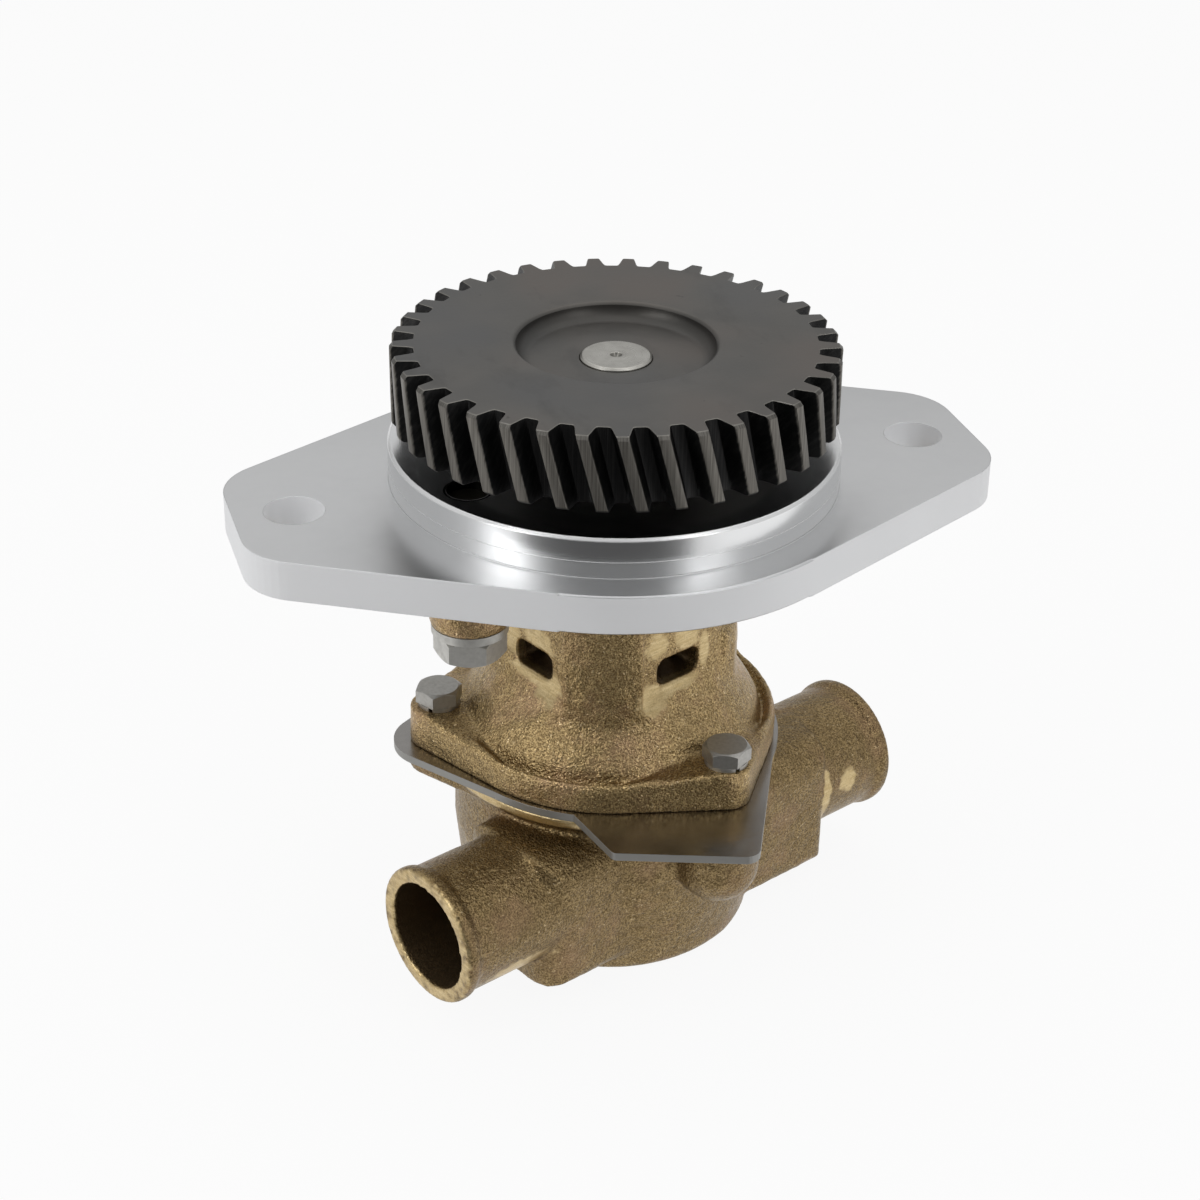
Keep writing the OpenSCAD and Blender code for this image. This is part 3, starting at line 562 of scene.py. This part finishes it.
def cast_bronze(name, patches, shade, inside, rim=None):
    """Sand-cast bronze: grainy, brown-gold, with pink and dark stains, painted glints and bright filed patches,
    scaled by a painted light factor and painted darker as shade inside.
    """
    k = Look(name)
    big = k.noise(70, 3, 0.6)
    mid = k.noise(330, 3, 0.6)
    fine = k.noise(1300, 2, 0.6)
    grain = k.noise(2500, 1, 0.6)
    col = k.mix(k.ramp(grain, 0.36, 0.64), (0.135, 0.091, 0.040), (0.45, 0.33, 0.163))
    col = k.mix(k.ramp(mid, 0.32, 0.68, 0.45, 0.0), col, (0.17, 0.118, 0.055))
    col = k.mix(k.ramp(big, 0.5, 0.7, 0.0, 0.35), col, (0.40, 0.25, 0.165))
    # small bright flecks painted on as glints, a painted highlight
    col = k.mix(k.ramp(fine, 0.64, 0.74, 0.0, 0.7), col, (0.78, 0.62, 0.38))
    # the whole colour scaled by shade: painted light on the housing, painted shade on the body
    col = k.mix(1.0, col, shade, "MULTIPLY")
    rough = k.ramp(fine, 0.3, 0.7, 0.42, 0.28)
    height = k.plus(k.plus(k.times(fine, 0.8), k.times(grain, 0.5)), k.times(mid, 1.5))

    mask = rim(k) if rim else 0.0
    for centre, size, turn in patches:
        mask = k.math("MAXIMUM", blob(k, centre, size, turn), mask)
    file_marks = k.noise(260, 2, 0.5, p=k.stretch((1, 1, 8)))
    bright = k.mix(k.ramp(file_marks, 0.3, 0.7), (0.52, 0.385, 0.185), (0.70, 0.555, 0.31))
    bright = k.mix(k.ramp(grain, 0.5, 0.75, 0.0, 0.6), bright, (0.34, 0.245, 0.115))
    col = k.mix(mask, col, bright)
    rough = k.plus(k.times(rough, k.minus(1.0, mask)), k.times(mask, 0.36))

    # inside the bores and the neck the colour is painted darker as shade
    dark = inside(k)
    col = k.mix(dark, col, (0.27, 0.19, 0.105))
    strength = k.times(k.ramp(mask, 0.0, 1.0, 1.0, 0.22), k.minus(1.0, k.times(dark, 0.75)))
    return k.finish(Base_Color=col, Metallic=0.92, Roughness=rough, Normal=k.bump(height, 0.00034, strength))


def machined_alloy():
    """Aluminium: turned on its top, milled on its sides, with smudges, a few dark stains and painted shade in its
    tapped holes.
    """
    k = Look("machined_alloy")
    smudge = k.noise(35, 4, 0.6)
    scratch = k.noise(500, 2, 0.5, p=k.stretch((1, 0.12, 1)))
    groove = k.noise(1.0, 2, 0.5, p=k.around(6000, 1.2, 6000))
    on_pilot = k.math("GREATER_THAN", k.z, 0.0004)
    col = k.mix(k.ramp(smudge, 0.3, 0.75), (0.67, 0.675, 0.68), (0.59, 0.595, 0.60))
    col = k.mix(on_pilot, col, (0.82, 0.825, 0.83))
    stain = k.ramp(k.noise(900, 4, 0.7, p=k.stretch((1, 0.4, 1))), 0.66, 0.74, 0.0, 0.35)
    col = k.mix(k.times(stain, k.ramp(k.noise(40, 2, 0.5), 0.5, 0.62)), col, (0.35, 0.35, 0.35))
    milled = k.times(k.steep(0.5), k.math("LESS_THAN", k.z, 0.0))
    col = k.mix(milled, col, (0.87, 0.875, 0.885))
    rough = k.minus(k.ramp(smudge, 0.3, 0.7, 0.28, 0.38), k.times(on_pilot, 0.12))
    rough = k.plus(rough, k.times(milled, 0.25))
    metal = k.minus(1.0, k.times(milled, 0.6))

    # the tapped holes' walls painted near-black as shade
    side = k.math("SIGN", k.x)
    tapped = k.length(k.plus(k.times(k.x, side), LUG_P[0] * MM), k.plus(k.times(k.y, side), LUG_P[1] * MM))
    col = k.mix(k.math("LESS_THAN", tapped, 0.0054), col, (0.02, 0.02, 0.018))
    height = k.plus(k.times(groove, 0.6), k.times(scratch, 0.3))
    return k.finish(Base_Color=col, Metallic=metal, Roughness=rough, Anisotropic=0.6,
                    Tangent=add(k.t, "Tangent", props={"direction_type": "RADIAL", "axis": "Z"}),
                    Normal=k.bump(height, 0.00002, 0.6, k.soft_normal(0.0004)))


def gear_steel():
    """Dark phosphated steel: tooth gaps painted near-black as shade, crests worn to grey, brown and blue stains on
    the face.
    """
    k = Look("gear_steel")
    r = k.radius()
    cloud = k.noise(45, 4, 0.6)
    tint = k.noise(22, 2, 0.5)
    fine = k.noise(900, 2, 0.5)
    smear = k.noise(75, 4, 0.65, p=k.stretch((1, 0.45, 1)))
    spots = k.noise(210, 3, 0.7)
    col = k.mix(k.ramp(cloud, 0.3, 0.7), (0.088, 0.085, 0.078), (0.125, 0.12, 0.112))
    col = k.mix(k.ramp(tint, 0.48, 0.62, 0.0, 0.5), col, (0.125, 0.104, 0.09))
    col = k.mix(k.ramp(tint, 0.34, 0.47, 0.5, 0.0), col, (0.096, 0.099, 0.104))
    col = k.mix(k.ramp(smear, 0.56, 0.72, 0.0, 0.45), col, (0.052, 0.05, 0.047))
    col = k.mix(k.ramp(spots, 0.7, 0.76, 0.0, 0.6), col, (0.03, 0.028, 0.025))

    # tooth gaps painted near-black as shade, crests worn to grey
    streak = k.noise(1.0, 3, 0.6, p=add(k.t, "CombineXYZ", i0=k.times(k.math("ARCTAN2", k.y, k.x), 160),
                                        i1=k.times(k.z, 55), i2=k.times(r, 400)))
    crest = k.mix(k.ramp(streak, 0.35, 0.65), (0.105, 0.098, 0.086), (0.2, 0.188, 0.168))
    # the steep sides in the tooth gaps painted near-black as shade
    gap_shade = k.mix(k.ramp(streak, 0.45, 0.75), (0.011, 0.011, 0.011), (0.032, 0.031, 0.03))
    worn = k.ramp(k.plus(r, k.ramp(streak, 0.3, 0.7, -0.00012, 0.00012)), 0.0492, 0.04965)
    teeth = k.times(k.steep(0.45), k.math("GREATER_THAN", r, 0.043))
    col = k.mix(teeth, col, k.mix(worn, gap_shade, crest))

    # chamfers at the teeth's ends, a painted highlight on their top edges, the underside painted black as shade
    # and the recess's cove painted darker as shade
    nz = k.flat()
    rim = k.times(k.ramp(nz, 0.5, 0.6), k.ramp(nz, 0.85, 0.95, 1.0, 0.0))
    rim = k.times(rim, k.math("GREATER_THAN", r, 0.044))
    col = k.mix(rim, col, k.mix(k.ramp(streak, 0.35, 0.65), (0.075, 0.071, 0.064), (0.14, 0.133, 0.12)))
    # a bright line painted along the teeth's top edge as a painted highlight
    lip_highlight = k.times(k.math("GREATER_THAN", k.z, 0.03172), k.times(rim, k.math("LESS_THAN", nz, 0.93)))
    col = k.mix(lip_highlight, col, (0.2, 0.192, 0.175))
    # the underside painted near-black as shade, which the pilot's top mirrors
    col = k.mix(k.math("LESS_THAN", k.z, 0.0146), col, (0.02, 0.02, 0.02))
    # the cove round the recess floor painted darker as shade
    cove = k.times(k.ramp(r, 0.0188, 0.0205), k.ramp(r, 0.0222, 0.0227, 1.0, 0.0))
    col = k.mix(k.times(cove, 0.6), col, (0.035, 0.034, 0.032))
    rough = k.ramp(cloud, 0.3, 0.7, 0.36, 0.48)
    return k.finish(Base_Color=col, Metallic=0.75, Roughness=rough, Normal=k.bump(fine, 0.00003, 0.5))


def turned_steel(name, light, dark, rough=0.3):
    """Lathe-turned metal with fine rings round the shaft's axis and painted shade at the centre of its end."""
    k = Look(name)
    rings = k.noise(1.0, 2, 0.6, p=k.around(4000, 0.6, 4000))
    spot = k.noise(300, 3, 0.6)
    col = k.mix(k.ramp(spot, 0.35, 0.7), light, dark)
    # within 1.3 mm of the axis the colour is painted dark as shade of the centre hole
    col = k.mix(k.times(k.math("LESS_THAN", k.radius(), 0.0013), 0.6), col, (0.06, 0.058, 0.05))
    rough = k.ramp(rings, 0.3, 0.7, rough - 0.06, rough + 0.1)
    normal = k.bump(rings, 0.00003, 0.5, k.soft_normal(0.0003))
    return k.finish(Base_Color=col, Metallic=1.0, Roughness=rough, Normal=normal)


def plated(name, light, dark, rough, scale=500, shaded_above=None, metal=1.0):
    """Plated or plain small fasteners. Above a given height, where the bolts' ends sit in the plate's tapped
    holes, the metal is painted dark as shade.
    """
    k = Look(name)
    spot = k.noise(scale, 3, 0.6)
    col = k.mix(k.ramp(spot, 0.35, 0.7), light, dark)
    if shaded_above is not None:
        # the bolts' ends inside the tapped holes painted near-black as shade
        col = k.mix(k.math("GREATER_THAN", k.z, shaded_above), col, (0.03, 0.026, 0.018))
    rough = k.ramp(spot, 0.3, 0.7, rough - 0.04, rough + 0.08)
    normal = k.bump(spot, 0.00003, 0.35, k.soft_normal(0.00009))
    return k.finish(Base_Color=col, Metallic=metal, Roughness=rough, Normal=normal)


def rolled_stainless():
    """Rolled sheet with fine streaks and a duller cut edge."""
    k = Look("rolled_stainless")
    streak = k.noise(900, 2, 0.5, p=k.stretch((0.08, 1, 1), -18))
    cloud = k.noise(60, 4, 0.6)
    cut = k.steep(0.5)
    col = k.mix(k.ramp(cloud, 0.3, 0.7), (0.27, 0.26, 0.245), (0.36, 0.345, 0.33))
    col = k.mix(cut, col, (0.3, 0.295, 0.28))
    rough = k.plus(k.ramp(streak, 0.3, 0.7, 0.2, 0.27), k.times(cut, 0.2))
    normal = k.bump(streak, 0.000012, 0.3, k.soft_normal(0.0002))
    return k.finish(Base_Color=col, Metallic=k.ramp(cut, 0.0, 1.0, 1.0, 0.65), Roughness=rough, Normal=normal)


def plain(name, a, b, rough, bump=0.00004):
    """Rubber, ceramic and carbon inside the pump."""
    k = Look(name)
    s = k.noise(250, 3, 0.6)
    return k.finish(Base_Color=k.mix(k.ramp(s, 0.3, 0.7), a, b), Metallic=0.0,
                    Roughness=k.ramp(s, 0.3, 0.7, rough - 0.06, rough + 0.06), Normal=k.bump(s, bump, 0.5))


# Filed patches on the castings: centre, half sizes and turn

WINDOW_PATCHES = [
    ((-24.0, -4.0, -36.5), (3.0, 3.0, 5.5), 24),
    ((-21.5, -12.5, -34.5), (4.5, 5.5, 3.6), 24),
    ((-19.6, -16.5, -44.5), (3.6, 4.2, 6.5), 24),
    ((-22.0, -9.5, -43.6), (3.0, 7.5, 1.8), 24),
    ((3.0, -26.0, -32.0), (3.4, 3.4, 4.4), 24),
    ((11.5, -22.2, -32.5), (4.2, 3.4, 4.0), 24),
    ((16.2, -20.0, -37.5), (1.6, 2.6, 4.6), 24),
    ((1.0, -26.8, -45.0), (5.0, 4.0, 4.0), 24),
    ((8.5, -23.0, -43.8), (7.0, 3.4, 1.9), 24),
    ((22.6, 10.1, -38.5), (3.2, 9.0, 5.5), 24),
    ((-9.9, 22.4, -38.5), (8.5, 3.2, 5.5), 24),
]
BODY_PATCHES = [
    ((-54.9, -39.6, -90.2), (1.0, 19.0, 19.0), 23),
    ((66.6, 12.0, -90.2), (1.0, 19.0, 19.0), 23),
    ((-34.5, -45.5, -98.5), (9.0, 3.0, 3.4), 23),
    ((53.2, -10.3, -92.0), (1.4, 1.4, 19.0), 23),
    ((42.0, -14.4, -75.2), (13.0, 1.8, 1.5), 23),
    ((59.7, -7.8, -89.0), (3.0, 2.6, 4.0), 23),
]
WEAR = {
    "gear": ["drive_gear"],
    "alloy": ["adapter_plate"],
    "housing": ["bearing_housing"],
    "body": ["pump_body"],
    "shaft": ["pump_shaft", "gear_sleeve", "race_spacer_outer", "race_spacer_inner", "oil_seal_spring",
              "seal_spring", "impeller_key"],
    "bearing": ["upper_race_outer", "upper_race_inner", "upper_balls", "lower_race_outer",
                "lower_race_inner", "lower_balls"],
    "clip": ["bearing_clip"],
    "zinc": ["adapter_bolts", "adapter_washers"],
    "bolt": ["body_bolts", "lock_washers"],
    "cover": ["cover_plate"],
    "rubber": ["oil_seal", "slinger_ring", "seal_cup", "seal_boot", "housing_o_ring", "body_o_ring",
               "impeller"],
    "ceramic": ["seal_seat"],
    "carbon": ["seal_face"],
    "brass": ["seal_collar", "impeller_insert", "cam", "cam_screw"],
    "copper": ["cam_washer"],
}


def dress():
    """Makes the materials and puts them on the CAD nodes."""
    looks = {
        "gear": gear_steel(),
        "alloy": machined_alloy(),
        # the housing's bronze scaled lighter and the body's darker: painted light and shade on one bronze
        "housing": cast_bronze("cast_bronze_housing", WINDOW_PATCHES, (1.44, 1.43, 1.41), in_neck),
        "body": cast_bronze("cast_bronze_body", BODY_PATCHES, (0.88, 0.86, 0.83), in_ports, filed_rim),
        "shaft": turned_steel("shaft_steel", (0.50, 0.49, 0.455), (0.40, 0.39, 0.36)),
        "bearing": turned_steel("bearing_steel", (0.75, 0.75, 0.76), (0.66, 0.66, 0.67), 0.14),
        "clip": plated("clip_steel", (0.16, 0.16, 0.16), (0.1, 0.1, 0.1), 0.4),
        "zinc": plated("zinc_steel", (0.62, 0.61, 0.575), (0.50, 0.49, 0.46), 0.44, shaded_above=-0.012, metal=0.7),
        "bolt": plated("stainless_bolt", (0.42, 0.41, 0.385), (0.36, 0.35, 0.325), 0.34, 1200, metal=0.85),
        "cover": rolled_stainless(),
        "rubber": plain("black_rubber", (0.012, 0.012, 0.012), (0.03, 0.03, 0.03), 0.55),
        "ceramic": plain("ceramic", (0.8, 0.78, 0.72), (0.88, 0.86, 0.8), 0.2, bump=0.00001),
        "carbon": plain("carbon", (0.03, 0.03, 0.033), (0.06, 0.06, 0.065), 0.35),
        "brass": turned_steel("turned_brass", (0.75, 0.58, 0.28), (0.62, 0.46, 0.2), 0.3),
        "copper": plated("copper", (0.7, 0.36, 0.22), (0.55, 0.28, 0.17), 0.35),
    }
    for look, nodes in WEAR.items():
        for node in nodes:
            for s in NODES[node].material_slots:
                s.material = looks[look]
    return looks


make_camera()
make_stage()
looks = dress()
make_gear(looks["gear"])
pilot_line(looks["alloy"])
cast_copy("bearing_housing", "cast_housing", housing_free, 20, looks["housing"], flange_valley)
cast_copy("pump_body", "cast_body", body_free, 13, looks["body"])
scene.view_settings.view_transform = "Standard"
